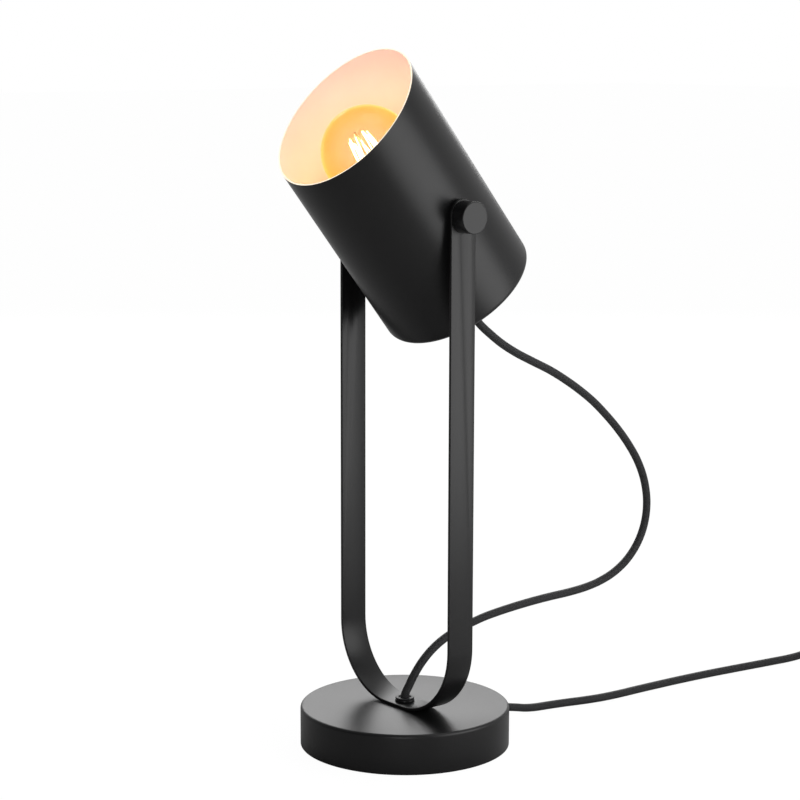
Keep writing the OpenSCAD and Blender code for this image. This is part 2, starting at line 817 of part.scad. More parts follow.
// Nickel-plated cap: a smooth skirt above four rolled threads
module bulb_cap() {
    pitch = 3.6;
    low = 5;
    threads = floor((skirt_z - low) / pitch);
    crest = cap_d / 2;
    root = crest - 0.9;
    wave = [for (i = [0:threads * 8])
        [(crest + root) / 2 - (crest - root) / 2 * cos(45 * i), low + 1 + pitch * i / 8]];
    color("#c8c6c0") on_bulb() rotate_extrude() polygon(concat(
        [[8, low - 0.6], [root, low - 0.2], [root, low + 1]],
        wave,
        [[root, skirt_z - 0.4], [crest, skirt_z], [crest, cap_l], [neck_r + seat, cap_l]],
        [[neck_r + seat, skirt_z + 0.1], [root - 0.4, skirt_z - 0.3], [root - 0.4, low + 0.6], [8, low]]
    ));
}
module bulb_insulator() {
    color("#1a1a1c") on_bulb() rotate_extrude() polygon([
        [0, 1.2], [4.6, 1.2], [7, 2.6], [11.6, low_glass], [7.9, low_glass], [7.9, 5.8], [0, 5.8]
    ]);
}
low_glass = 4.3;
module bulb_contact() {
    color("#b9bbbe") on_bulb() {
        translate([0, 0, 0.5]) tube(4, 0, 0.7);
        tube(2.6, 0, 0.6);
    }
}

// Glass mount inside the bulb: a flare at the neck, a stem and a bead
stem_top = bulb_mid - 20;
module bulb_stem() {
    foot = skirt_z + 0.2;
    color("#e8d9b8", 0.6) on_bulb() rotate_extrude() polygon([
        [0, foot], [neck_r - glass_t - seat, foot], [neck_r - glass_t - seat, foot + 1],
        [7, foot + 4], [4.2, foot + 10], [3.4, stem_top - 8], [2.6, stem_top - 2],
        [1.6, stem_top], [0, stem_top]
    ]);
}

// Squirrel-cage filament: wire up and down between two rings of hooks
filament_r = 0.35;
cage_low = [9, stem_top + 5];
cage_high = [6.5, bulb_mid + 14];
function cage(ring, i) = [
    ring[0] * cos(360 * i / (2 * filament_loops)),
    ring[0] * sin(360 * i / (2 * filament_loops)),
    ring[1]
];
cage_points = [for (i = [0:2 * filament_loops - 1]) cage(i % 2 == 0 ? cage_low : cage_high, i)];
module filament() {
    color("#ffd070") on_bulb() for (i = [0:2 * filament_loops - 2]) {
        a = cage_points[i];
        b = cage_points[i + 1];
        lap = filament_r * unit(b - a);
        stick(a - lap, b + lap, filament_r, 6);
    }
}

// Centre rod with a spoke to each hook of the filament
module filament_supports() {
    color("#9a9a98") on_bulb() {
        tube(0.9, stem_top, cage_high[1] + 2);
        for (p = cage_points) {
            reach = 1 - (filament_r + play) / norm([p[0], p[1]]);
            stick([0, 0, p[2]], [p[0] * reach, p[1] * reach, p[2]], 0.25, 6);
        }
    }
}

// ------------------------------------------------------------------ cords

// Free loop of cord from the cord grip to the bush on the base
loop_route = [
    [0, 74.3, 270], [0, 84.1, 263.2], [0, 97, 255.9], [0, 112.1, 248.7], [0, 128.4, 241.1],
    [0, 143.4, 232.8], [0, 157.3, 224.1], [0, 170.2, 214.9], [0, 182.5, 204.4], [0, 194.4, 193],
    [0, 205.7, 180.3], [0, 215.4, 166.7], [0, 222.3, 151.8], [0, 225.3, 136.1], [0, 223.6, 121],
    [0, 217.3, 107.4], [0, 207, 96.3], [0, 194, 88.5], [0, 179.2, 83.7], [0, 164.1, 81.3],
    [0, 148, 80.3], [0, 132, 80], [0, 116, 79.4], [0, 100, 78.4], [0, 85, 77.1],
    [0, 70, 75.3], [0, 56.2, 72.6], [0, 43.2, 69.3], [0, 32.2, 65.1], [0, 22.7, 59.7],
    [0, 14.6, 53], [0, 8.1, 45.5], [0, 3.5, 38.6]
];
module loop_cord() {
    color("#19191b") cord(concat(
        [for (s = [nipple_top - 3.1, nipple_end, grip_end, grip_end - 6]) on_axis(s)],
        loop_route,
        [[0, 0, flange_top + lip_h + 0.8], [0, 0, 22], [0, 0, 12.1]]
    ), cord_r);
}

// Mains lead from the clamp in the base to the switch
mains_route = [
    [0, 42.1, 7], [0, 56, 7], [0, 70, 7], [0, 82, 7], [0, 90.5, 7], [1.2, 99, 5.6],
    [2.4, 107, 4], [3.4, 116, 3.1], [4.8, 127, 2.8], [7.8, 140, 2.8], [11.6, 154, 2.8],
    [14.6, 169, 2.8], [15.9, 185, 2.8], [16.3, 203, 2.8], [16.9, 221, 2.8], [17.7, 239, 2.8],
    [18.8, 256, 2.8], [20.1, 272, 2.8], [21.8, 288, 2.8], [23.7, 304, 2.8], [25.7, 320, 2.8],
    [27.6, 336, 2.8], [29.2, 351, 2.8], [30.2, 364, 3.4], [30.8, 376, 5.2], [31, 387, 7],
    [31, 395, 7.5], [31, 402, 7.5]
];
module mains_cord() {
    color("#19191b") cord(mains_route, cord_r);
}

// Lead from the switch to the coil
switch_at = [31, 426];
switch_route = [
    [31, 450, 7.5], [31, 457, 7.5], [31.5, 467, 6.6], [34, 477, 4.6], [40, 487, 3.2],
    [50, 494, 2.9], [62, 496.5, 2.9], [74, 494, 3], [85, 487.5, 3.1], [95, 479, 3.2],
    [104, 470, 3.4], [110, 463.6, 3.4], [115.5, 457.4, 3.4]
];
module switch_cord() {
    color("#19191b") cord(switch_route, cord_r, [0, 0.02, 1]);
}

// Coil of the spare lead, tied with a strap
coil_at = [90, 432];
coil_low = 0.6;
coil_wide = coil_columns * cord_d;
coil_high = coil_layers * cord_d;
module cord_coil() {
    color("#19191b") translate([coil_at[0], coil_at[1], coil_low]) rotate_extrude()
        translate([coil_r - coil_wide / 2, 0]) {
            translate([cord_r, 0]) square([coil_wide - cord_d, coil_high]);
            translate([0, cord_r]) square([coil_wide, coil_high - cord_d]);
            for (x = [cord_r, coil_wide - cord_r], y = [cord_r, coil_high - cord_r])
                translate([x, y]) circle(cord_r);
        }
}
tie_turn = 215;
tie_t = 0.6;
tie_w = 7;
module coil_tie() {
    color("#2c2c2e") translate([coil_at[0], coil_at[1], 0]) rotate(tie_turn)
        translate([coil_r, 0, coil_low + coil_high / 2]) rotate([90, 0, 0]) difference() {
            slab(coil_wide + 2 * tie_t + 0.6, coil_high + 2 * tie_t, cord_r, -tie_w / 2, tie_w / 2);
            slab(coil_wide + 0.6, coil_high, cord_r - tie_t, -tie_w, tie_w);
        }
}

// Lead from the coil to the plug
plug_at = [126.4, 404];
plug_route = [[126, 432, 9], [126.2, 424, 9], [126.4, 415, 8.2], [126.4, 407, 7],
    [126.4, 400, 6.8], [126.4, 386, 6.8]];
module plug_cord() {
    color("#19191b") cord(plug_route, cord_r, [1, 0, 0.02]);
}

// ----------------------------------------------------------------- switch

// The switch is drawn along +X and laid along the cord
module on_switch() {
    translate([switch_at[0], switch_at[1], 0]) rotate(90) children();
}
split_z = 7.5;
switch_corner = 8;
rocker_z = 10.5;
switch_screw_places = [[21, -7.4, 0], [-21, 7.4, 0]];
boss_r = 2.8;
module switch_cord_holes() {
    for (side = [-1, 1]) translate([0, 0, split_z]) rotate([0, side * 90, 0])
        tube(cord_r + play, switch_l / 2 - 4, switch_l / 2 + over);
}
module switch_base() {
    color("#1c1c1e") on_switch() difference() {
        union() {
            difference() {
                slab(switch_l, switch_w, switch_corner, 0, split_z);
                slab(switch_l - 2 * switch_t, switch_w - 2 * switch_t, switch_corner - switch_t,
                    switch_t, split_z + over);
            }
            for (p = switch_screw_places) translate(p) tube(boss_r, switch_t - 0.2, split_z);
        }
        switch_cord_holes();
        for (p = switch_screw_places) translate(p) {
            tube(1.2 + play, -over, split_z + over);
            tube(2.2 + play, -over, 2);
        }
    }
}
module switch_cover() {
    roof = switch_h - switch_t;
    color("#1c1c1e") on_switch() difference() {
        union() {
            difference() {
                slab(switch_l, switch_w, switch_corner, split_z, switch_h);
                slab(switch_l - 2 * switch_t, switch_w - 2 * switch_t, switch_corner - switch_t,
                    split_z - over, roof);
            }
            for (p = switch_screw_places) translate(p) tube(boss_r, split_z, roof + 0.2);
            for (side = [-1, 1]) translate([-3.2, side * (rocker_w / 2 + 1.4) - 1, rocker_z - 2.4])
                cube([6.4, 2, roof + 0.2 - rocker_z + 2.4]);
        }
        translate([-rocker_l / 2 - 1, -rocker_w / 2 - 0.25, rocker_z])
            cube([rocker_l + 2, rocker_w + 0.5, switch_h]);
        translate([0, 0, rocker_z]) rotate([90, 0, 0]) tube(1.5 + run, -switch_w / 2 + 2, switch_w / 2 - 2);
        switch_cord_holes();
        for (p = switch_screw_places) translate(p) tube(1.2 + seat, split_z - over, roof - 1);
    }
}

// Rocker on two stub pins, resting with its far end down
module switch_rocker() {
    up = switch_h + 1.4 - rocker_z;
    color("#2e2e31") on_switch() translate([0, 0, rocker_z]) rotate([0, rocker_tilt, 0]) {
        rotate([90, 0, 0]) linear_extrude(rocker_w, center = true) polygon([
            [-rocker_l / 2, up], [0, up - 0.9], [rocker_l / 2, up],
            [rocker_l / 2, up - 4], [2.6, -2], [-2.6, -2], [-rocker_l / 2, up - 4]
        ]);
        rotate([90, 0, 0]) tube(1.5, -rocker_w / 2 - 2.2, rocker_w / 2 + 2.2);
    }
}
module switch_screws() {
    color("#b4b6ba") on_switch() for (p = switch_screw_places) translate(p) {
        tube(1.2, 1, switch_h - switch_t - 1.2);
        tube(2.2, 0.6, 2);
    }
}

// Two brass terminals under the rocker
module switch_contacts() {
    color("#c9a24a") on_switch() for (side = [-1, 1]) translate([side * 9, 0, 0]) difference() {
        translate([-3, -2.5, switch_t]) cube([6, 5, 4]);
        translate([0, 0, switch_t + 2]) rotate([90, 0, 0]) tube(1, -4, 4);
    }
}

// ------------------------------------------------------------------- plug

// The plug is drawn along +X from the end of its strain relief
module on_plug() {
    translate([plug_at[0], plug_at[1], plug_h / 2]) rotate(-90) children();
}
plug_end = plug_relief_l + plug_l;
module plug_body() {
    tail_w = 15;
    corner = 3;
    color("#1c1c1e") on_plug() difference() {
        union() {
            translate([0, 0, -plug_h / 2]) linear_extrude(plug_h) {
                polygon([
                    [plug_relief_l, -tail_w / 2], [plug_relief_l + 4, -tail_w / 2 - 1],
                    [plug_relief_l + 17, -plug_w / 2], [plug_end - corner, -plug_w / 2],
                    [plug_end - corner, plug_w / 2], [plug_relief_l + 17, plug_w / 2],
                    [plug_relief_l + 4, tail_w / 2 + 1], [plug_relief_l, tail_w / 2]
                ]);
                translate([plug_end - 2 * corner, -plug_w / 2 + corner])
                    square([2 * corner, plug_w - 2 * corner]);
                for (side = [-1, 1])
                    translate([plug_end - corner, side * (plug_w / 2 - corner)]) circle(corner);
            }
            rotate([0, 90, 0]) cylinder(r1 = cord_r + 0.9, r2 = 5.6, h = plug_relief_l + 0.5);
        }
        rotate([0, 90, 0]) tube(cord_r + play, -over, plug_relief_l);
        for (side = [-1, 1]) translate([0, side * pin_spacing / 2, 0]) rotate([0, 90, 0])
            tube(pin_d / 2 + seat, plug_end - 12, plug_end + over);
    }
}
module plug_pins() {
    color("#c8c6c0") on_plug() for (side = [-1, 1]) translate([0, side * pin_spacing / 2, 0])
        rotate([0, 90, 0]) {
            tube(pin_d / 2, plug_end - 12, plug_end + pin_l - 1);
            translate([0, 0, plug_end + pin_l - 1])
                cylinder(r1 = pin_d / 2, r2 = pin_d / 2 - 0.8, h = 1);
        }
}

base_cover();
base_weight();
bottom_plate();
plate_screws();
base_pad();
flange_bolt();
bolt_bush();
bolt_washer();
bolt_nut();
base_grommet();
cord_clamp();
clamp_screws();
terminal_block();
terminal_tubes();
terminal_screws();
base_wires();
yoke();
knob_right();
knob_insert_right();
knob_washer_right();
knob_left();
knob_insert_left();
knob_washer_left();
shade();
pivot_studs();
outer_spacers();
inner_spacers();
pivot_nuts();
nipple();
rear_washer();
rear_nut();
cord_grip();
grip_screw();
holder_cap();
holder_sleeve();
holder_core();
screw_shell();
holder_contact();
holder_screws();
holder_wires();
bulb_glass();
bulb_cap();
bulb_insulator();
bulb_contact();
bulb_stem();
filament_supports();
filament();
loop_cord();
mains_cord();
switch_cord();
cord_coil();
coil_tie();
plug_cord();
switch_base();
switch_cover();
switch_rocker();
switch_screws();
switch_contacts();
plug_body();
plug_pins();
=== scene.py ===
"""Looks of a tabletop searchlight lamp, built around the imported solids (metres, +Z up)."""
import json
import math

import bmesh
import bpy
from mathutils import Matrix, Vector

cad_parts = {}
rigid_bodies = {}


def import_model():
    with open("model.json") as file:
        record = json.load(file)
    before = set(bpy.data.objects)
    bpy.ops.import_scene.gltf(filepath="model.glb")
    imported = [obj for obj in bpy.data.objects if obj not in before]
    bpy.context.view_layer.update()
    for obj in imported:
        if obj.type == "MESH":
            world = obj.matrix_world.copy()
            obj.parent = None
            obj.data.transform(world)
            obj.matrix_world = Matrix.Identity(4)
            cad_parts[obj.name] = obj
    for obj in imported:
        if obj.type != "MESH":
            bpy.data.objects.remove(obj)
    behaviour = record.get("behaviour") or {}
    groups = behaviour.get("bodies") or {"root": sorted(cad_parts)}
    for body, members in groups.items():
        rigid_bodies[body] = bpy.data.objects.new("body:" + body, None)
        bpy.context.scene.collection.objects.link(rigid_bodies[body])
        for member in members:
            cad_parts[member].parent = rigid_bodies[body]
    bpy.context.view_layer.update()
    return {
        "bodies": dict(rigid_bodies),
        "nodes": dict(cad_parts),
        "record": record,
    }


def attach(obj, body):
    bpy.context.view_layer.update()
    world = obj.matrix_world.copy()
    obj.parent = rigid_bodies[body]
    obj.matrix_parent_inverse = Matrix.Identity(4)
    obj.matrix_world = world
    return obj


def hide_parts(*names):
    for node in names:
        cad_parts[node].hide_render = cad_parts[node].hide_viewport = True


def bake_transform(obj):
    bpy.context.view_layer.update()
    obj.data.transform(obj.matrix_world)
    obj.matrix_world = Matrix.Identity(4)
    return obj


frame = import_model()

bpy.ops.object.select_all(action="DESELECT")

# ------------------------------------------------------------------ camera
# A long lens on a stand in front and to the right of the lamp, tipped a
# little down, as in the product photograph. Square picture, no shift.
LOOK = Vector((-0.768355, 0.619352, -0.161351)).normalized()
RIGHT = Vector((0.627261, 0.778805, 0.002452)).normalized()
UP = RIGHT.cross(LOOK)
LENS_PLACE = Vector((1.1248, -0.9115, 0.4699))
camera_data = bpy.data.cameras.new("camera")
camera_data.sensor_width = 36
camera_data.lens = 100.63
camera_data.clip_end = 40
camera = bpy.data.objects.new("camera", camera_data)
camera.matrix_world = Matrix((
    (RIGHT.x, UP.x, -LOOK.x, LENS_PLACE.x),
    (RIGHT.y, UP.y, -LOOK.y, LENS_PLACE.y),
    (RIGHT.z, UP.z, -LOOK.z, LENS_PLACE.z),
    (0, 0, 0, 1)))
bpy.context.scene.collection.objects.link(camera)
bpy.context.scene.camera = camera

# --------------------------------------------------------------- loop cord
# Round mains cord, 5.6 mm over a black textile braid, in a free loop from the
# grip behind the shade to the bush in the base. Near the tilt limits it
# doesn't keep its length.
CORD_R = 0.0028
AIM = math.radians(51)
TILT_AXIS = Vector((0, 0, 0.357))
AXIS = Vector((0, -math.cos(AIM), math.sin(AIM)))


def on_axis(along):
    """Point on the shade's axis, so many millimetres in front of the tilt axis."""
    return TILT_AXIS + AXIS * (along / 1000)


def metres(points):
    """Points given in millimetres, as vectors in metres."""
    return [Vector(p) / 1000 for p in points]


def smoothed(points, step=0.002):
    """Points a step apart along a curve that runs through the given ones."""
    fine = []
    for i in range(len(points) - 1):
        start, stop = points[i], points[i + 1]
        before = points[i - 1] if i else start * 2 - stop
        after = points[i + 2] if i + 2 < len(points) else stop * 2 - start
        chord = (stop - start).length
        lead = (stop - before).normalized() * chord
        trail = (after - start).normalized() * chord
        for k in range(12):
            t = k / 12
            fine.append(start * (2 * t**3 - 3 * t**2 + 1) + lead * (t**3 - 2 * t**2 + t)
                        + stop * (3 * t**2 - 2 * t**3) + trail * (t**3 - t**2))
    fine.append(points[-1])
    along = [0.0]
    for a, b in zip(fine, fine[1:]):
        along.append(along[-1] + (b - a).length)
    count = max(2, round(along[-1] / step))
    even = []
    k = 0
    for i in range(count + 1):
        want = along[-1] * i / count
        while k < len(along) - 2 and along[k + 1] < want:
            k += 1
        share = (want - along[k]) / max(along[k + 1] - along[k], 1e-12)
        even.append(fine[k].lerp(fine[k + 1], share))
    return even


def length_of(line):
    """Length in metres of a line of points, to a tenth of a millimetre."""
    return round(sum((b - a).length for a, b in zip(line, line[1:])), 4)


def tube(name, line, radius, sides=16):
    """A closed round tube along a line. Its UV map is metres along and turns round."""
    made = bmesh.new()
    uv = made.loops.layers.uv.new("UVMap")
    ahead = (line[1] - line[0]).normalized()
    across = ahead.orthogonal().normalized()
    spokes = [(math.cos(2 * math.pi * k / sides), math.sin(2 * math.pi * k / sides)) for k in range(sides)]
    rings = []
    marks = []
    for i, point in enumerate(line):
        heading = (line[min(i + 1, len(line) - 1)] - line[max(i - 1, 0)]).normalized()
        across = ahead.rotation_difference(heading) @ across
        across = (across - heading * across.dot(heading)).normalized()
        ahead = heading
        other = ahead.cross(across)
        marks.append(marks[-1] + (point - line[i - 1]).length if i else 0.0)
        rings.append([made.verts.new(point + radius * (c * across + s * other)) for c, s in spokes])
    for i in range(len(rings) - 1):
        for k in range(sides):
            j = (k + 1) % sides
            face = made.faces.new((rings[i][k], rings[i][j], rings[i + 1][j], rings[i + 1][k]))
            face.smooth = True
            corners = ((marks[i], k), (marks[i], k + 1), (marks[i + 1], k + 1), (marks[i + 1], k))
            for loop, (run, step) in zip(face.loops, corners):
                loop[uv].uv = (run, step / sides)
    made.faces.new(list(reversed(rings[0])))
    made.faces.new(rings[-1])
    mesh = bpy.data.meshes.new(name)
    made.to_mesh(mesh)
    made.free()
    piece = bpy.data.objects.new(name, mesh)
    bpy.context.scene.collection.objects.link(piece)
    return piece


class Value:
    """A shader socket that Python's operators work on, each with a Math node."""

    def __init__(self, tree, out):
        self.tree = tree
        self.out = out

    def math(self, operation, *others):
        node = self.tree.nodes.new("ShaderNodeMath")
        node.operation = operation
        for socket, value in zip(node.inputs, (self, *others)):
            if isinstance(value, Value):
                self.tree.links.new(value.out, socket)
            else:
                socket.default_value = value
        return Value(self.tree, node.outputs[0])

    def __add__(self, other):
        return self.math("ADD", other)

    def __mul__(self, other):
        return self.math("MULTIPLY", other)

    def __sub__(self, other):
        return self.math("SUBTRACT", other)

    def __rsub__(self, other):
        return self * -1.0 + other

    def __abs__(self):
        return self.math("ABSOLUTE")

    __radd__ = __add__
    __rmul__ = __mul__

    def sine(self):
        return self.math("SINE")

    def within(self, low=0.0, high=1.0):
        return self.math("MAXIMUM", low).math("MINIMUM", high)


class Nodes:
    """Adds shader nodes to a tree: settings first, then values or links on sockets."""

    def __init__(self, tree):
        self.tree = tree

    def node(self, kind, settings=None, out=0, inputs=None):
        made = self.tree.nodes.new("ShaderNode" + kind)
        for key, value in (settings or {}).items():
            setattr(made, key, value)
        for key, value in (inputs or {}).items():
            self.feed(made.inputs[key], value)
        return Value(self.tree, made.outputs[out])

    def feed(self, socket, value):
        if isinstance(value, Value):
            self.tree.links.new(value.out, socket)
        elif isinstance(value, tuple) and socket.type == "RGBA":
            socket.default_value = (*value, 1.0)
        else:
            socket.default_value = value


class Finish(Nodes):
    """A material with one Principled shader. Fixed values go straight on its sockets."""

    def __init__(self, name, **fixed):
        self.material = bpy.data.materials.new(name)
        self.material.use_nodes = True
        super().__init__(self.material.node_tree)
        self.shader = self.tree.nodes["Principled BSDF"]
        self.set(**fixed)

    def set(self, **values):
        for key, value in values.items():
            self.feed(self.shader.inputs[key.replace("_", " ").title().replace("Ior", "IOR")], value)

    def place(self):
        return self.node("TexCoord", out="Object")

    def noise(self, scale, detail=3.0, rough=0.55):
        return self.node("TexNoise", inputs={
            "Vector": self.place(), "Scale": scale, "Detail": detail, "Roughness": rough})

    def mix(self, share, low, high):
        return self.node("Mix", {"data_type": "RGBA"}, 2, {0: share, 6: low, 7: high})

    def part(self, vector, axis):
        """One coordinate of a vector: axis 0, 1 or 2 for x, y or z."""
        return self.node("SeparateXYZ", out=axis, inputs={0: vector})

    def bump(self, height, depth, strength=1.0):
        self.set(normal=self.node("Bump", inputs={
            "Height": height, "Distance": depth, "Strength": strength}))


# Glossy yarn laid steeply along the cord in two crossing directions: each
# yarn is a rounded bar, and the two families take turns on top.
YARN_TURN = 0.017
YARNS = 12
braid = Finish("textile_braid", roughness=0.5, specular_ior_level=0.2, sheen_weight=0.04,
               sheen_roughness=0.4)
on_cord = braid.node("UVMap", {"uv_map": "UVMap"})
run = braid.part(on_cord, 0)
turn = braid.part(on_cord, 1)
right_yarn = (run * (1 / YARN_TURN) + turn) * (YARNS * math.pi)
left_yarn = (run * (1 / YARN_TURN) - turn) * (YARNS * math.pi)
on_top = ((right_yarn * 0.5).sine() * (left_yarn * 0.5).sine() * 4 + 0.5).within()
yarn_relief_and_painted_shade = abs(right_yarn.sine()) * on_top + abs(left_yarn.sine()) * (1 - on_top)
fluff = braid.noise(2600.0, 2.0)
# Painted shade and highlight: the colour is dark in the grooves between yarns and light on their crests,
# with random fluff on top.
braid.set(base_color=braid.mix((yarn_relief_and_painted_shade * 0.7 + fluff * 0.5 - 0.1).within(), (0.0020, 0.0020, 0.0024),
                               (0.042, 0.042, 0.044)))
braid.bump(yarn_relief_and_painted_shade + fluff * 0.3, 0.00018)

loop_line = smoothed([on_axis(along) for along in (-64.1, -79, -95, -101)] + metres([
    (0, 74.3, 270), (0, 84.1, 263.2), (0, 97, 255.9), (0, 112.1, 248.7), (0, 128.4, 241.1),
    (0, 143.4, 232.8), (0, 157.3, 224.1), (0, 170.2, 214.9), (0, 182.5, 204.4), (0, 194.4, 193),
    (0, 205.7, 180.3), (0, 215.4, 166.7), (0, 222.3, 151.8), (0, 225.3, 136.1), (0, 223.6, 121),
    (0, 217.3, 107.4), (0, 207, 96.3), (0, 194, 88.5), (0, 179.2, 83.7), (0, 164.1, 81.3),
    (0, 148, 80.3), (0, 132, 80), (0, 116, 79.4), (0, 100, 78.4), (0, 85, 77.1),
    (0, 70, 75.3), (0, 56.2, 72.6), (0, 43.2, 69.3), (0, 32.2, 65.1), (0, 22.7, 59.7),
    (0, 14.6, 53), (0, 8.1, 45.5), (0, 3.5, 38.6), (0, 0, 32.6), (0, 0, 22), (0, 0, 12.1)]))
loop = tube("loop_cord_braid", loop_line, CORD_R)
loop.data.materials.append(braid.material)
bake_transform(loop)
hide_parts("loop_cord")
length_of(loop_line)

# -------------------------------------------------------------- mains lead
# The same cord runs from the clamp in the base, over the table, to the
# in-line switch, which lies on it.
mains_line = smoothed(metres([
    (0, 42.1, 7), (0, 56, 7), (0, 70, 7), (0, 82, 7), (0, 90.5, 7), (1.2, 99, 5.6),
    (2.4, 107, 4), (3.4, 116, 3.1), (4.8, 127, 2.8), (7.8, 140, 2.8), (11.6, 154, 2.8),
    (14.6, 169, 2.8), (15.9, 185, 2.8), (16.3, 203, 2.8), (16.9, 221, 2.8), (17.7, 239, 2.8),
    (18.8, 256, 2.8), (20.1, 272, 2.8), (21.8, 288, 2.8), (23.7, 304, 2.8), (25.7, 320, 2.8),
    (27.6, 336, 2.8), (29.2, 351, 2.8), (30.2, 364, 3.4), (30.8, 376, 5.2), (31, 387, 7),
    (31, 395, 7.5), (31, 402, 7.5)]))
mains = tube("mains_cord_braid", mains_line, CORD_R)
mains.data.materials.append(braid.material)
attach(mains, "stand")
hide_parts("mains_cord")

# -------------------------------------------------- spare lead and its coil
# Behind the switch the lead is wound as for storage: five turns in three
# layers, which start outside on the table and end at the plug beside them.
COIL_PLACE = Vector((0.090, 0.432, 0))
TURNS = [(36.0, 3.4), (30.4, 3.4), (30.4, 9.0), (30.4, 14.6), (36.0, 14.6), (36.0, 9.0)]
CROSSING = 45


def coil_point(swept):
    """Where the cord lies after so many degrees of winding, clockwise from 45 degrees."""
    radius, height = TURNS[0]
    for k in range(1, len(TURNS)):
        share = min(max((swept - k * (360 - CROSSING)) / CROSSING, 0), 1)
        share = share * share * (3 - 2 * share)
        radius += (TURNS[k][0] - TURNS[k - 1][0]) * share
        height += (TURNS[k][1] - TURNS[k - 1][1]) * share
    angle = math.radians(45 - swept)
    return COIL_PLACE + Vector((radius * math.cos(angle), radius * math.sin(angle), height)) / 1000


lead_line = smoothed(metres([
    (31, 450, 7.5), (31, 457, 7.5), (31.5, 467, 6.6), (34, 477, 4.6), (40, 487, 3.2),
    (50, 494, 2.9), (62, 496.5, 2.9), (74, 494, 3), (85, 487.5, 3.1), (95, 479, 3.2),
    (104, 470, 3.4), (110, 463.6, 3.4)])
    + [coil_point(15 * k) for k in range(124)] + metres([
        (126.2, 424, 8.8), (126.4, 415, 8.1), (126.4, 407, 7.1), (126.4, 400, 6.8),
        (126.4, 392, 6.8), (126.4, 386, 6.8)]))
lead = tube("spare_lead_braid", lead_line, CORD_R)
lead.data.materials.append(braid.material)
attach(lead, "stand")
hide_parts("switch_cord", "cord_coil", "plug_cord")


# -------------------------------------------------------------- base cover
# Pressed steel cup over the iron weight: flat top, a narrow rolled edge, a
# straight side and a rim just clear of the table, in black powder coat.
def powder(name, colour, rough, shine):
    """Baked powder coat: fine orange peel, faint clouds, slightly uneven gloss."""
    made = Finish(name, specular_ior_level=shine)
    peel = made.noise(520.0, 2.0, 0.45)
    grain = made.noise(2600.0, 2.0, 0.6)
    cloud = made.noise(14.0, 3.0)
    made.set(base_color=made.mix(cloud, tuple(c * 0.85 for c in colour), tuple(c * 1.15 for c in colour)),
             roughness=cloud * 0.05 + grain * 0.05 + (rough - 0.05))
    made.bump(peel * 0.7 + grain * 0.3, 0.00004, 0.5)
    return made


black_coat = powder("black_powder_coat", (0.0066, 0.0064, 0.0068), 0.35, 0.34)


def active(piece, mode="OBJECT"):
    """Makes the piece the only one selected, in the given mode."""
    bpy.ops.object.select_all(action="DESELECT")
    piece.select_set(True)
    bpy.context.view_layer.objects.active = piece
    bpy.ops.object.mode_set(mode=mode)


def lathe(rings, sides=96):
    """A turned form in millimetres: a circle, extruded and scaled from ring to ring."""
    radius, height = rings[0]
    bpy.ops.object.select_all(action="DESELECT")
    bpy.ops.mesh.primitive_circle_add(vertices=sides, radius=max(radius, 0.01) / 1000, fill_type="NOTHING")
    piece = bpy.context.object
    piece.data.transform(Matrix.Translation((0, 0, height / 1000)))
    active(piece, "EDIT")
    bpy.ops.mesh.select_all(action="SELECT")
    for r, z in rings[1:]:
        bpy.ops.mesh.extrude_edges_move(TRANSFORM_OT_translate={"value": (0, 0, (z - height) / 1000)})
        share = max(r, 0.01) / max(radius, 0.01)
        bpy.ops.transform.resize(value=(share, share, 1), center_override=(0, 0, z / 1000))
        radius, height = r, z
    bpy.ops.mesh.select_all(action="SELECT")
    bpy.ops.mesh.remove_doubles(threshold=0.00003)
    bpy.ops.mesh.normals_make_consistent(inside=False)
    bpy.ops.object.mode_set(mode="OBJECT")
    return piece


def corner(r, z, edge, start, steps=6):
    """Ring points round a quarter of an edge about (r, z), counted from start degrees."""
    angles = [math.radians(start + 90 * k / steps) for k in range(steps + 1)]
    return [(r + edge * math.cos(a), z + edge * math.sin(a)) for a in angles]


BODY_OF = {node: body for body, nodes in frame["record"]["behaviour"]["bodies"].items() for node in nodes}


def fit(piece, name, finish, node, degrees=30):
    """Names and shades a finished piece, and lets it stand for its CAD node. None keeps its materials."""
    active(piece)
    bpy.ops.object.shade_smooth_by_angle(angle=math.radians(degrees))
    piece.name = piece.data.name = name
    if finish:
        piece.data.materials.clear()
        piece.data.materials.append(finish.material)
    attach(piece, BODY_OF[node])
    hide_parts(node)


COVER_R = 70.0
COVER_TOP = 27.0
COVER_WALL = 1.2
COVER_EDGE = 2.2
RIM_EDGE = 0.4
RIM_LOW = 0.5
BOLT_HOLE_R = 5.2
cover_bore = COVER_R - COVER_WALL
ceiling = COVER_TOP - COVER_WALL
edge_middle = (COVER_R - COVER_EDGE, COVER_TOP - COVER_EDGE)
rim_inside = (cover_bore, RIM_LOW + 0.2)
cover = lathe([rim_inside, (cover_bore, edge_middle[1])]
              + corner(*edge_middle, COVER_EDGE - COVER_WALL, 0, 4)
              + [(30, ceiling), (BOLT_HOLE_R, ceiling), (BOLT_HOLE_R, COVER_TOP), (30, COVER_TOP)]
              + corner(*edge_middle, COVER_EDGE, 0, 8)[::-1] + [(COVER_R, 12)]
              + corner(COVER_R - RIM_EDGE, RIM_LOW + RIM_EDGE, RIM_EDGE, -90, 3)[::-1]
              + [(cover_bore + 0.2, RIM_LOW), rim_inside], sides=192)
fit(cover, "base_cover_coated", black_coat, "base_cover")


# ----------------------------------------------------- inside the base
# As-cast iron weight, zinc-plated plate, washer and screws, brass nut and
# terminals in a nylon block, the cord clamp, coloured wires, and the foam
# pad that the lamp stands on.
def finish_nodes(finish, *nodes):
    """Gives CAD solids that stay as they are their material."""
    for node in nodes:
        piece = frame["nodes"][node]
        piece.data.materials.clear()
        piece.data.materials.append(finish.material)


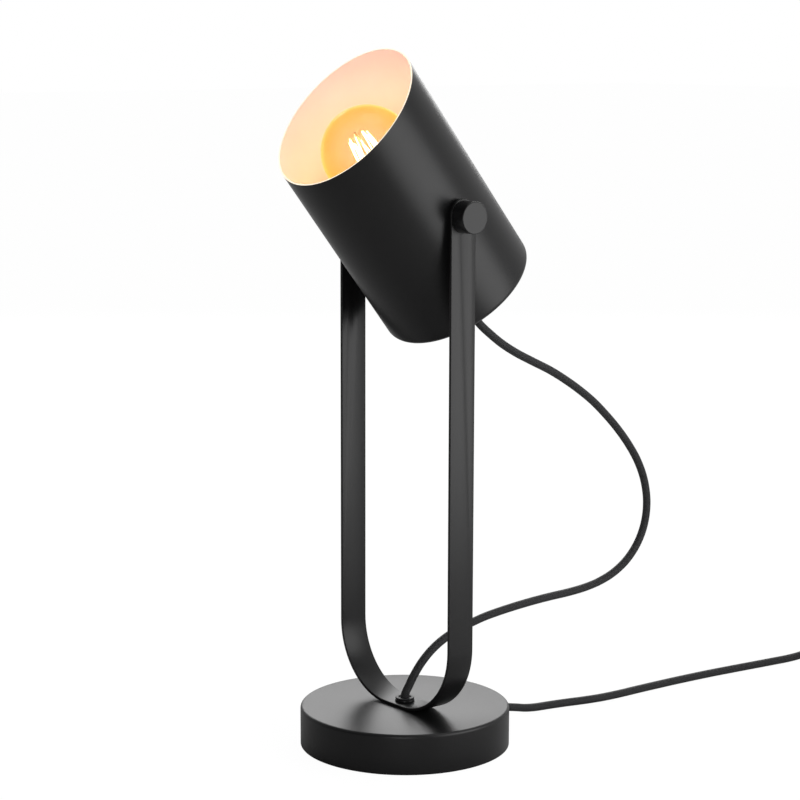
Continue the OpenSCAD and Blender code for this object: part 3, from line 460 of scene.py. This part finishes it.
iron = Finish("cast_iron", metallic=0.7, specular_ior_level=0.3)
skin = iron.noise(260.0, 6.0, 0.7)
iron.set(base_color=iron.mix(skin, (0.07, 0.066, 0.06), (0.20, 0.19, 0.175)), roughness=skin * 0.3 + 0.5)
iron.bump(skin, 0.0003)
finish_nodes(iron, "base_weight")

zinc = Finish("zinc_plate", metallic=1.0)
zinc_cloud = zinc.noise(240.0)
zinc.set(base_color=zinc.mix(zinc_cloud, (0.52, 0.53, 0.57), (0.70, 0.71, 0.73)),
         roughness=zinc_cloud * 0.25 + 0.22)
zinc.bump(zinc.noise(1400.0), 0.00003, 0.4)
finish_nodes(zinc, "bottom_plate", "plate_screws", "bolt_washer", "clamp_screws", "terminal_screws")

brass = Finish("turned_brass", metallic=1.0)
brass_cloud = brass.noise(90.0)
brass.set(base_color=brass.mix(brass_cloud, (0.66, 0.46, 0.20), (0.82, 0.62, 0.30)),
          roughness=brass.noise(350.0) * 0.2 + 0.22)
brass.bump(brass.noise(1800.0), 0.00002, 0.4)
finish_nodes(brass, "bolt_nut", "terminal_tubes")

nylon = Finish("natural_nylon", specular_ior_level=0.4)
nylon_cloud = nylon.noise(180.0)
nylon.set(base_color=nylon.mix(nylon_cloud, (0.70, 0.68, 0.61), (0.80, 0.78, 0.72)),
          roughness=nylon_cloud * 0.15 + 0.42)
nylon.bump(nylon.noise(900.0), 0.00004, 0.4)
finish_nodes(nylon, "terminal_block", "cord_clamp")

foam = Finish("black_foam", roughness=0.95, specular_ior_level=0.12)
cells = foam.node("TexVoronoi", inputs={"Vector": foam.place(), "Scale": 1500.0})
foam.set(base_color=foam.mix((cells * 1.6).within(), (0.006, 0.006, 0.007), (0.035, 0.035, 0.038)))
foam.bump(cells, 0.0002)
finish_nodes(foam, "base_pad")

wire_skin = Finish("wire_insulation", specular_ior_level=0.4)
side_of = wire_skin.part(wire_skin.place(), 0)
wire_skin.set(base_color=wire_skin.mix((side_of * 4000.0 + 0.5).within(), (0.20, 0.075, 0.03),
                                       (0.03, 0.10, 0.36)),
              roughness=wire_skin.noise(500.0) * 0.2 + 0.32)
wire_skin.bump(wire_skin.noise(700.0), 0.00003, 0.3)
finish_nodes(wire_skin, "base_wires", "holder_wires")


# --------------------------------------------------------------------- yoke
# One flat steel bar, 20 by 2 mm, sheared to length with round ends and bent
# into a U, with lightly broken edges, powder coated like the base.
def dress(node, finish, width, segments=2, degrees=30):
    """A copy of a CAD solid, merged and flattened, with its edges broken by so many millimetres."""
    piece = bpy.data.objects.new(node, frame["nodes"][node].data.copy())
    bpy.context.scene.collection.objects.link(piece)
    active(piece, "EDIT")
    bpy.ops.mesh.select_all(action="SELECT")
    bpy.ops.mesh.remove_doubles(threshold=0.00001)
    bpy.ops.mesh.dissolve_limited(angle_limit=math.radians(0.5))
    bpy.ops.object.mode_set(mode="OBJECT")
    if width:
        bevel = piece.modifiers.new("bevel", "BEVEL")
        bevel.width = width / 1000
        bevel.segments = segments
        bevel.limit_method = "ANGLE"
        bevel.angle_limit = math.radians(degrees)
        bpy.ops.object.modifier_apply(modifier=bevel.name)
    fit(piece, node + "_dressed", finish, node, degrees)


dress("yoke", black_coat, 0.3, 3, 40)

# ------------------------------------------------- centre bolt and its bush
# A hollow flange bolt clamps the yoke on the base, and a moulded bush with
# a wide collar stands on its flange and keeps the cord off the metal.
dark_plastic = Finish("black_moulding", specular_ior_level=0.3)
mould_grain = dark_plastic.noise(1100.0, 3.0, 0.6)
dark_plastic.set(base_color=dark_plastic.mix(mould_grain, (0.0075, 0.0075, 0.0082), (0.014, 0.014, 0.015)),
                 roughness=mould_grain * 0.12 + 0.34)
dark_plastic.bump(mould_grain, 0.00005, 0.5)
dress("flange_bolt", black_coat, 0.25, 2)
dress("bolt_bush", dark_plastic, 0.3, 3)

# -------------------------------------------------------------- base grommet
# Moulded grommet in the back of the cover, with a tapered strain relief.
dress("base_grommet", dark_plastic, 0.3, 3)

# -------------------------------------------------------------------- shade
# Spun steel can, 1 mm thick, cut off at a slant: black powder coat outside,
# white enamel inside, turned a warm cream by the bulb's light and by a painted glow.
SHADE_R = 53.0
SHADE_WALL = 1.0
SHADE_EDGE = 4.0
SHADE_REAR = -70.0
NIPPLE_HOLE_R = 5.1
MOUTH_AT = 80.0
MOUTH_SLANT = math.radians(12)
to_head = Matrix.Translation(TILT_AXIS) @ Matrix.Rotation(math.pi / 2 - AIM, 4, "X")
# Painted glow: the enamel's emission stands in for the bulb's light on it, pinker near the top and more
# amber lower down.
enamel = Finish("white_enamel_painted_glow", roughness=0.45, specular_ior_level=0.3, emission_strength=0.20)
rise = enamel.part(enamel.place(), 2)
painted_glow_lower = (6.1 - rise * 14.0).within()
enamel_cloud = enamel.noise(45.0, 2.0)
enamel.set(base_color=enamel.mix(enamel_cloud, (0.80, 0.76, 0.70), (0.86, 0.82, 0.77)),
           emission_color=enamel.mix(painted_glow_lower, (1.0, 0.60, 0.62), (1.0, 0.45, 0.15)))
enamel.bump(enamel.noise(900.0, 2.0), 0.00004, 0.4)
# Painted glow on the cut edge of the mouth: its emission stands in for the bulb's light on the rim, over
# cream paint with random nicks.
cut_edge = Finish("mouth_rim_painted_glow", specular_ior_level=0.3, emission_color=(1.0, 0.88, 0.70),
                  emission_strength=0.85)
nicks = cut_edge.noise(420.0)
cut_edge.set(base_color=cut_edge.mix(nicks, (0.72, 0.62, 0.50), (0.86, 0.78, 0.66)),
             roughness=nicks * 0.2 + 0.3)

shade = lathe([(NIPPLE_HOLE_R, SHADE_REAR), (20, SHADE_REAR), (38, SHADE_REAR)]
              + corner(SHADE_R - SHADE_EDGE, SHADE_REAR + SHADE_EDGE, SHADE_EDGE, -90, 10)
              + [(SHADE_R, along) for along in range(-60, 101, 10)], sides=192)
active(shade, "EDIT")
bpy.ops.mesh.select_all(action="SELECT")
bpy.ops.mesh.bisect(plane_co=(0, 0, MOUTH_AT / 1000),
                    plane_no=(0, -math.sin(MOUTH_SLANT), math.cos(MOUTH_SLANT)), clear_outer=True)
bpy.ops.mesh.select_all(action="SELECT")
bpy.ops.mesh.normals_make_consistent(inside=False)
bpy.ops.object.mode_set(mode="OBJECT")
for part in (black_coat, enamel, cut_edge):
    shade.data.materials.append(part.material)
wall = shade.modifiers.new("wall", "SOLIDIFY")
wall.thickness = SHADE_WALL / 1000
wall.offset = -1.0
wall.material_offset = 1
wall.material_offset_rim = 2
wall.use_even_offset = True
bpy.ops.object.modifier_apply(modifier=wall.name)
shade.data.transform(to_head)
fit(shade, "shade_shell", None, "shade", 40)

# -------------------------------------------------------------- tilt pivots
# Zinc-plated studs through nylon and coated spacers carry the shade in the
# yoke. Turned clamp knobs with brass inserts and nylon washers lock it.
KNOB_R = 10.25
KNOB_NEAR = 57.7
KNOB_FAR = 68.5
KNOB_BREAK = 0.3
KNOB_ROUND = 0.6
INSERT_R = 4.98
INSERT_END = 66.3
RECESS_R = 7.9
RECESS_END = 58.4
knob_coat = powder("knob_black", (0.0070, 0.0070, 0.0074), 0.32, 0.34)
for side, sign in (("right", 1), ("left", -1)):
    knob = lathe([(0, INSERT_END), (INSERT_R, INSERT_END), (INSERT_R, RECESS_END),
                  (RECESS_R, RECESS_END), (RECESS_R, KNOB_NEAR)]
                 + corner(KNOB_R - KNOB_BREAK, KNOB_NEAR + KNOB_BREAK, KNOB_BREAK, -90, 3)
                 + corner(KNOB_R - KNOB_ROUND, KNOB_FAR - KNOB_ROUND, KNOB_ROUND, 0, 6)
                 + [(8.2, 68.48), (5, 68.44), (2, 68.4), (0, 68.4)], sides=128)
    knob.data.transform(Matrix.Translation(TILT_AXIS) @ Matrix.Rotation(sign * math.pi / 2, 4, "Y"))
    fit(knob, "knob_%s_turned" % side, knob_coat, "knob_" + side)
    finish_nodes(brass, "knob_insert_" + side)
    finish_nodes(nylon, "knob_washer_" + side)
finish_nodes(zinc, "pivot_studs", "pivot_nuts")
finish_nodes(nylon, "inner_spacers")
dress("outer_spacers", black_coat, 0.2, 2, 40)

# ------------------------------------------------- behind the shade: the grip
# Brass nipple through the shade's floor, washer and nut, and a moulded grip
# that clamps the cord with a nylon screw.
finish_nodes(brass, "nipple")
dress("rear_washer", zinc, 0.15, 2)
dress("rear_nut", black_coat, 0.4, 2)
dress("cord_grip", dark_plastic, 0.4, 3)
dress("grip_screw", nylon, 0.15, 2)

# ---------------------------------------------------------------- lampholder
# Black thermoset cap and sleeve round a glazed ceramic core with its brass
# screw shell, centre contact and terminals.
dress("holder_cap", dark_plastic, 0.3, 2)
dress("holder_sleeve", dark_plastic, 0.3, 2)
ceramic = Finish("glazed_ceramic", coat_roughness=0.08)
glaze = ceramic.noise(120.0)
ceramic.set(base_color=ceramic.mix(glaze, (0.76, 0.74, 0.68), (0.84, 0.83, 0.78)),
            roughness=glaze * 0.1 + 0.14, coat_weight=glaze * 0.2 + 0.5)
finish_nodes(ceramic, "holder_core")
finish_nodes(brass, "screw_shell", "holder_contact")
finish_nodes(zinc, "holder_screws")

# --------------------------------------------------------------- bulb glass
# Blown globe, 60 mm across, in amber glass 0.8 mm thick, drawn down by a
# cone to the neck that is cemented in the screw cap.
GLOBE_R = 30.0
GLOBE_AT = 78.0
GLASS_WALL = 0.8
NECK_R = 12.6
NECK_END = 22.2
CONE = math.radians(25)
BEND_UP = 8.0
BEND_DOWN = 7.0
BULB_SEAT = -27.5


def glass_profile(inset):
    """Half outline of the glass from its pole to the neck's end, so far inside the outer face."""
    r = GLOBE_R - inset
    neck = NECK_R - inset
    arc = [(r * math.cos(a), GLOBE_AT + r * math.sin(a))
           for a in [math.pi / 2 - (math.pi / 2 + CONE) * k / 30 for k in range(31)]]
    meet = (GLOBE_AT - r * math.sin(CONE)) - (r * math.cos(CONE) - neck) / math.tan(CONE)
    high = (neck + BEND_UP * math.tan(CONE), meet + BEND_UP)
    middle = (neck, meet)
    low = (neck, max(meet - BEND_DOWN, NECK_END + 5))
    shares = [k / 8 for k in range(9)]
    bend = [tuple((1 - t) ** 2 * high[i] + 2 * t * (1 - t) * middle[i] + t * t * low[i] for i in (0, 1))
            for t in shares]
    return arc + bend + [(neck, NECK_END)]


amber = Finish("amber_glass", roughness=0.03, specular_ior_level=0.5, emission_strength=0.85)
facing = amber.node("LayerWeight", out="Facing", inputs={"Blend": 0.35})
seed = amber.noise(35.0, 2.0)
amber.set(base_color=amber.mix(seed, (0.20, 0.075, 0.008), (0.24, 0.095, 0.012)),
          emission_color=amber.mix(seed, (1.0, 0.47, 0.03), (1.0, 0.53, 0.06)),
          alpha=(facing * 0.62 + 0.09).within())
to_bulb = to_head @ Matrix.Translation((0, 0, BULB_SEAT / 1000))
globe = lathe(glass_profile(0) + glass_profile(GLASS_WALL)[::-1], sides=96)
globe.data.transform(to_bulb)
fit(globe, "bulb_globe", amber, "bulb_glass", 40)

# -------------------------------------------------- bulb cap, stem, filament
# Nickel-plated screw cap with a black glass insulator, a clear glass stem
# with fine support wires, and a squirrel cage of glowing filament.
nickel = Finish("nickel_plate", metallic=1.0)
nickel_cloud = nickel.noise(300.0)
nickel.set(base_color=nickel.mix(nickel_cloud, (0.66, 0.64, 0.60), (0.80, 0.78, 0.75)),
           roughness=nickel_cloud * 0.15 + 0.16)
dress("bulb_cap", nickel, 0, 1, 60)
finish_nodes(nickel, "bulb_contact")
finish_nodes(dark_plastic, "bulb_insulator")
clear = Finish("clear_glass", base_color=(0.9, 0.72, 0.45), roughness=0.03, specular_ior_level=0.5)
clear_rim = clear.node("LayerWeight", out="Facing", inputs={"Blend": 0.4})
clear.set(alpha=(clear_rim * 0.5 + 0.12).within())
finish_nodes(clear, "bulb_stem")
support = Finish("support_wire", metallic=1.0, base_color=(0.55, 0.50, 0.42))
support.set(roughness=support.noise(800.0) * 0.2 + 0.25)
finish_nodes(support, "filament_supports")

CAGE_LOW = (9.0, 63.0)
CAGE_HIGH = (6.5, 92.0)
CAGE_LOOPS = 8
WIRE_R = 0.42
glow = Finish("glowing_filament", base_color=(1.0, 0.75, 0.35), roughness=0.6, emission_strength=8.0)
heat = glow.noise(260.0)
glow.set(emission_color=glow.mix(heat, (1.0, 0.66, 0.26), (1.0, 0.80, 0.42)))
hooks = []
for k in range(2 * CAGE_LOOPS):
    reach, level = CAGE_LOW if k % 2 == 0 else CAGE_HIGH
    spoke = math.pi * k / CAGE_LOOPS
    hooks.append(Vector((reach * math.cos(spoke), reach * math.sin(spoke), level)) / 1000)
strand = []
for low, high in zip(hooks, hooks[1:]):
    for t in (0.06, 0.35, 0.65, 0.94):
        bow = 1 + 0.10 * math.sin(math.pi * t)
        point = low.lerp(high, t)
        strand.append(Vector((point.x * bow, point.y * bow, point.z)))
filament = tube("filament", smoothed(strand, 0.0015), WIRE_R / 1000, 8)
filament.data.transform(to_bulb)
fit(filament, "filament_loops", glow, "filament", 60)

# ------------------------------------------------------------ in-line switch
# Two moulded halves held by screws from below, with a rocker between them
# and brass terminals inside.
dress("switch_base", dark_plastic, 0.8, 3)
dress("switch_cover", dark_plastic, 0.8, 3)
dress("switch_rocker", dark_plastic, 0.4, 2)
finish_nodes(zinc, "switch_screws")
finish_nodes(brass, "switch_contacts")
length_of(mains_line)

# ------------------------------------------------- plug and the coil's strap
# Flat two-pin plug moulded on the lead with a tapered relief, and the strap
# that holds the coil.
dress("plug_body", dark_plastic, 1.0, 3)
finish_nodes(nickel, "plug_pins")
strap = Finish("woven_strap", roughness=0.8, specular_ior_level=0.2)
strap_weave = strap.node("TexChecker", None, 1, {"Vector": strap.place(), "Scale": 1600.0})
strap.set(base_color=strap.mix(strap_weave, (0.008, 0.008, 0.009), (0.024, 0.024, 0.026)))
strap.bump(strap_weave, 0.0001)
dress("coil_tie", strap, 0.15, 2)
length_of(lead_line)


# ------------------------------------------------------------------- studio
# White table and backdrop for the camera, grey ones for reflections, lighter
# behind the lamp. A panel at the right, softboxes behind the lamp, above it
# and beside the camera, and the bulb's own warm light.
def clear_view(nodes):
    """1 for what the camera sees, straight or through glass, else 0."""
    straight = nodes.node("LightPath", out="Is Camera Ray")
    through = nodes.node("LightPath", out="Is Transmission Ray")
    return (straight + through).within()


bpy.ops.object.select_all(action="DESELECT")
bpy.ops.mesh.primitive_plane_add(size=30)
floor = bpy.context.object
floor.name = "studio_floor"
table = Finish("studio_table", base_color=(0.5, 0.5, 0.5), roughness=0.9, specular_ior_level=0.05)
glossy = table.node("LightPath", out="Is Glossy Ray")
white = table.node("Emission", inputs={"Color": (1.0, 1.0, 1.0), "Strength": 1.10})
lit = Value(table.tree, table.shader.outputs[0])
back = table.part(table.place(), 1)
far_side = (back * 0.55 - 0.08).within(0.0, 0.48)
whiteness = (clear_view(table) + glossy * far_side).within() * 0.88
seen = table.node("MixShader", inputs={0: whiteness, 1: lit, 2: white})
table.tree.links.new(seen.out, table.tree.nodes["Material Output"].inputs[0])
floor.data.materials.append(table.material)

world = bpy.data.worlds.new("studio")
bpy.context.scene.world = world
world.use_nodes = True
sky = Nodes(world.node_tree)
behind_lamp = sky.node("VectorMath", {"operation": "DOT_PRODUCT"}, "Value", {
    0: sky.node("TexCoord", out="Generated"), 1: Vector((-0.3, 0.95, 0))})
mirrored = (behind_lamp * 0.33 + 0.37).within(0.12, 0.62)
level = mirrored.math("MAXIMUM", clear_view(sky))
backdrop = sky.node("Background", inputs={"Color": (1.0, 1.0, 1.0), "Strength": level})
sky.tree.links.new(backdrop.out, sky.tree.nodes["World Output"].inputs[0])


def softbox(name, place, aim_at, size, power):
    """A rectangular lamp of so many watts that only its light shows."""
    data = bpy.data.lights.new(name, "AREA")
    data.shape = "RECTANGLE"
    data.size, data.size_y = size
    data.energy = power
    lamp = bpy.data.objects.new(name, data)
    lamp.location = place
    lamp.rotation_euler = (Vector(aim_at) - Vector(place)).to_track_quat("-Z", "Y").to_euler()
    lamp.visible_camera = False
    bpy.context.scene.collection.objects.link(lamp)


softbox("right_panel", (0.49, 0.21, 0.26), (0, 0, 0.26), (0.46, 0.45), 1.8)
softbox("back_softbox", (-1.58, 1.22, 1.0), (0, 0, 0.15), (1.8, 1.0), 15)
softbox("front_softbox", (1.05, -0.95, 0.36), (0, 0, 0.25), (0.3, 0.4), 3.2)
softbox("top_softbox", (0.1, 0.3, 1.9), (0, 0, 0.2), (1.0, 1.0), 5)

spark = bpy.data.lights.new("bulb_light", "POINT")
spark.energy = 0.06
spark.color = (1.0, 0.49, 0.45)
spark.shadow_soft_size = 0.014
spark_at = bpy.data.objects.new("bulb_light", spark)
spark_at.location = on_axis(50)
bpy.context.scene.collection.objects.link(spark_at)
bpy.context.view_layer.update()
spark_at.parent = frame["bodies"]["bulb"]
spark_at.matrix_parent_inverse = frame["bodies"]["bulb"].matrix_world.inverted()

bpy.context.scene.view_settings.view_transform = "Standard"
